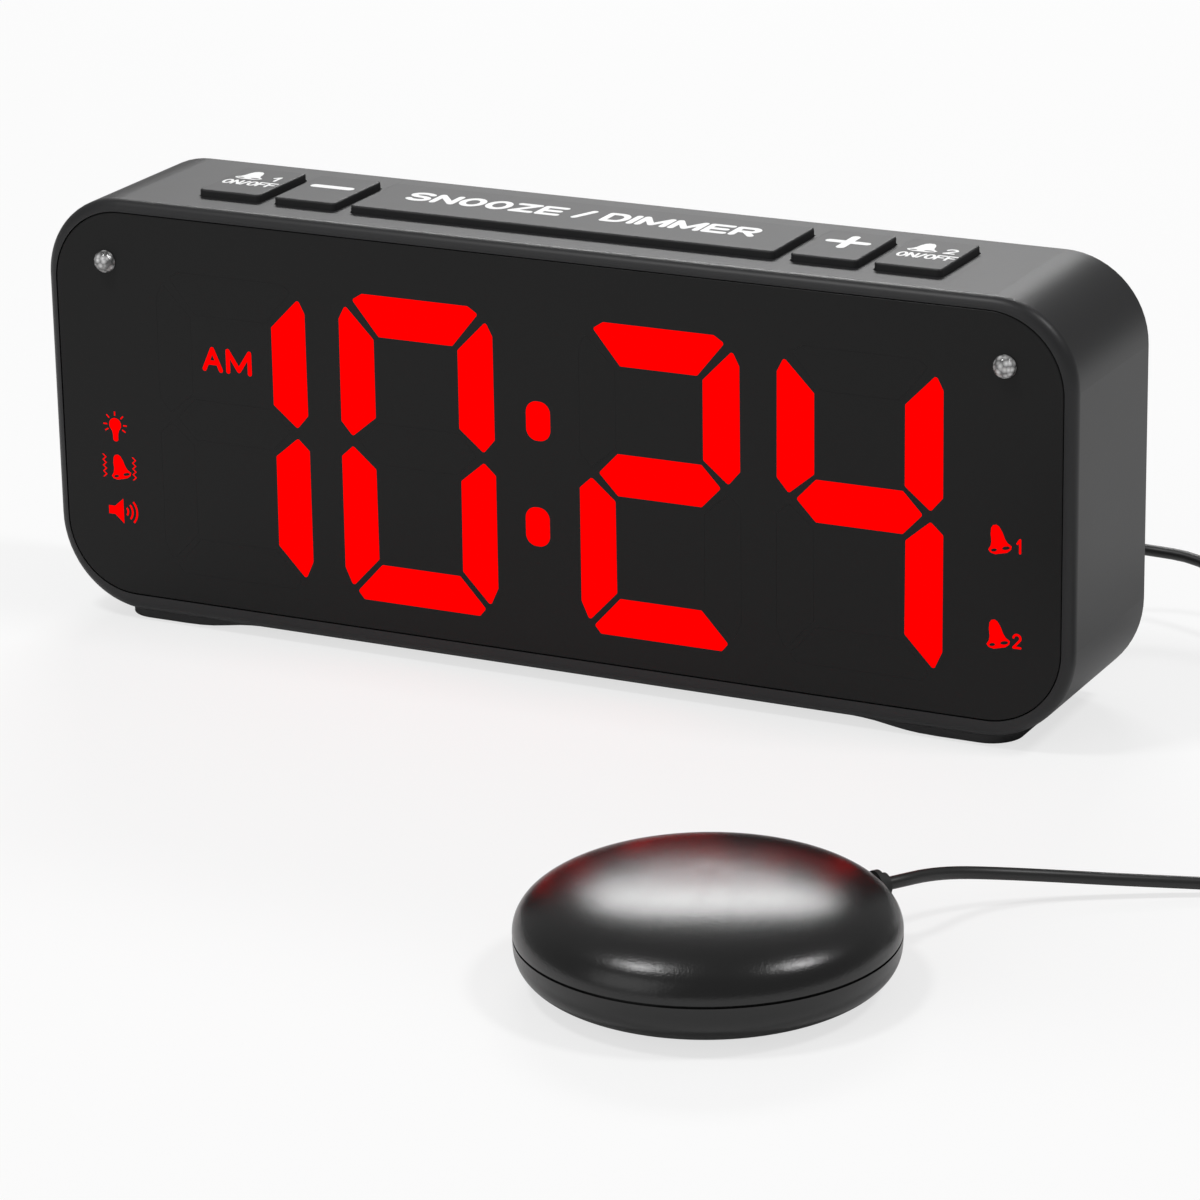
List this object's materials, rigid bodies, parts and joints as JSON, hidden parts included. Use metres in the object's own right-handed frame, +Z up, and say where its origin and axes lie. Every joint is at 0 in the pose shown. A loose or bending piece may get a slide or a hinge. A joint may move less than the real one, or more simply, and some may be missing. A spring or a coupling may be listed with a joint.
{
  "type": "bed shaker alarm clock",
  "caption": "Wide desk alarm clock with large lit digits behind a smoked lens, top keys, flash lamps and a round shaker puck on a long cord.",
  "frame": {"origin": "on the surface that the clock stands on, under the middle of the clock's body", "axes": "+X towards the clock's right end as seen from the front, -Y out of the front lens, +Z up"},
  "size_m": [0.3166, 0.2484, 0.0927],
  "materials": {
    "housing_plastic": "fine satin moulding",
    "lens_plastic": "smoked, smooth",
    "lit_bar": "glowing red",
    "unlit_bar": "smoked, as dark as the lens",
    "block_plastic": "white moulding",
    "board": "green solder mask",
    "chips": "moulded",
    "led_chips": "clear over phosphor",
    "lamp_clear": "clear moulded",
    "key_plastic": "fine satin moulding",
    "key_rubber": "soft",
    "foot_rubber": "soft",
    "cover_plastic": "fine spark texture",
    "screw_steel": "plated",
    "cell_case": "printed sleeve, left plain",
    "contact_metal": "nickel plated",
    "speaker_body": "paper cone and frame",
    "socket_plastic": "moulded",
    "puck_plastic": "satin with fine grain",
    "puck_rubber": "soft",
    "motor_case": "drawn can",
    "weight_brass": "turned",
    "cord_rubber": "smooth sleeve"
  },
  "bodies": {
    "case": {"battery_contacts": "contact_metal", "battery_lower": "cell_case", "battery_upper": "cell_case", "board_links": "chips", "colon_dots": "lit_bar", "cord_clock_side": "cord_rubber", "cord_coil": "cord_rubber", "cord_grommet": "puck_rubber", "cord_puck_side": "cord_rubber", "dc_jack": "socket_plastic", "digit_hours_tens_lit": "lit_bar", "digit_hours_tens_unlit": "unlit_bar", "digit_hours_units_lit": "lit_bar", "digit_hours_units_unlit": "unlit_bar", "digit_minutes_tens_lit": "lit_bar", "digit_minutes_tens_unlit": "unlit_bar", "digit_minutes_units_lit": "lit_bar", "digit_minutes_units_unlit": "unlit_bar", "display_block": "block_plastic", "display_board": "board", "dome_alarm1": "key_rubber", "dome_alarm2": "key_rubber", "dome_minus": "key_rubber", "dome_plus": "key_rubber", "dome_snooze": "key_rubber", "flash_lamps": "lamp_clear", "foot_pads": "foot_rubber", "front_lens": "lens_plastic", "housing": "housing_plastic", "jack_plug": "cord_rubber", "key_board": "board", "key_board_screws": "screw_steel", "main_board": "board", "main_board_parts": "chips", "main_board_screws": "screw_steel", "motor_bracket": "block_plastic", "puck_bottom_shell": "puck_plastic", "puck_foot_ring": "puck_rubber", "puck_motor": "motor_case", "puck_screws": "screw_steel", "puck_top_shell": "puck_plastic", "rear_cover": "cover_plastic", "rear_cover_screws": "screw_steel", "rear_switches": "chips", "segment_leds": "led_chips", "shaker_jack": "socket_plastic", "speaker": "speaker_body"},
    "alarm1_key": {"key_alarm1": "key_plastic"},
    "minus_key": {"key_minus": "key_plastic"},
    "snooze_key": {"key_snooze": "key_plastic"},
    "plus_key": {"key_plus": "key_plastic"},
    "alarm2_key": {"key_alarm2": "key_plastic"},
    "hour_key": {"rear_key_hour": "key_plastic"},
    "minute_key": {"rear_key_minute": "key_plastic"},
    "set_key": {"rear_key_set": "key_plastic"},
    "mode_knob": {"mode_slider": "key_plastic"},
    "cell_door": {"battery_door": "cover_plastic"},
    "rotor": {"motor_shaft": "screw_steel", "eccentric_weight": "weight_brass"}
  },
  "joints": [
    {"name": "alarm1_press", "type": "slide", "parent": "case", "child": "alarm1_key", "axis": [0, 0, -1], "range_m": [0, 0.0012], "stiffness_N_per_m": 700, "springref_m": -0.0005, "deforming": ["dome_alarm1"]},
    {"name": "minus_press", "type": "slide", "parent": "case", "child": "minus_key", "axis": [0, 0, -1], "range_m": [0, 0.0012], "stiffness_N_per_m": 700, "springref_m": -0.0005, "deforming": ["dome_minus"]},
    {"name": "snooze_press", "type": "slide", "parent": "case", "child": "snooze_key", "axis": [0, 0, -1], "range_m": [0, 0.0012], "stiffness_N_per_m": 700, "springref_m": -0.0005, "deforming": ["dome_snooze"]},
    {"name": "plus_press", "type": "slide", "parent": "case", "child": "plus_key", "axis": [0, 0, -1], "range_m": [0, 0.0012], "stiffness_N_per_m": 700, "springref_m": -0.0005, "deforming": ["dome_plus"]},
    {"name": "alarm2_press", "type": "slide", "parent": "case", "child": "alarm2_key", "axis": [0, 0, -1], "range_m": [0, 0.0012], "stiffness_N_per_m": 700, "springref_m": -0.0005, "deforming": ["dome_alarm2"]},
    {"name": "hour_press", "type": "slide", "parent": "case", "child": "hour_key", "axis": [0, -1, 0], "range_m": [0, 0.001], "stiffness_N_per_m": 600, "springref_m": -0.0005},
    {"name": "minute_press", "type": "slide", "parent": "case", "child": "minute_key", "axis": [0, -1, 0], "range_m": [0, 0.001], "stiffness_N_per_m": 600, "springref_m": -0.0005},
    {"name": "set_press", "type": "slide", "parent": "case", "child": "set_key", "axis": [0, -1, 0], "range_m": [0, 0.001], "stiffness_N_per_m": 600, "springref_m": -0.0005},
    {"name": "mode_slide", "type": "slide", "parent": "case", "child": "mode_knob", "axis": [1, 0, 0], "range_m": [-0.003, 0.003]},
    {"name": "door_pull", "type": "slide", "parent": "case", "child": "cell_door", "axis": [0, 1, 0], "range_m": [0, 0.025]},
    {"name": "rotor_spin", "type": "hinge", "parent": "case", "child": "rotor", "pos_m": [0.1, -0.146, 0.0102], "axis": [1, 0, 0], "continuous": true}
  ]
}
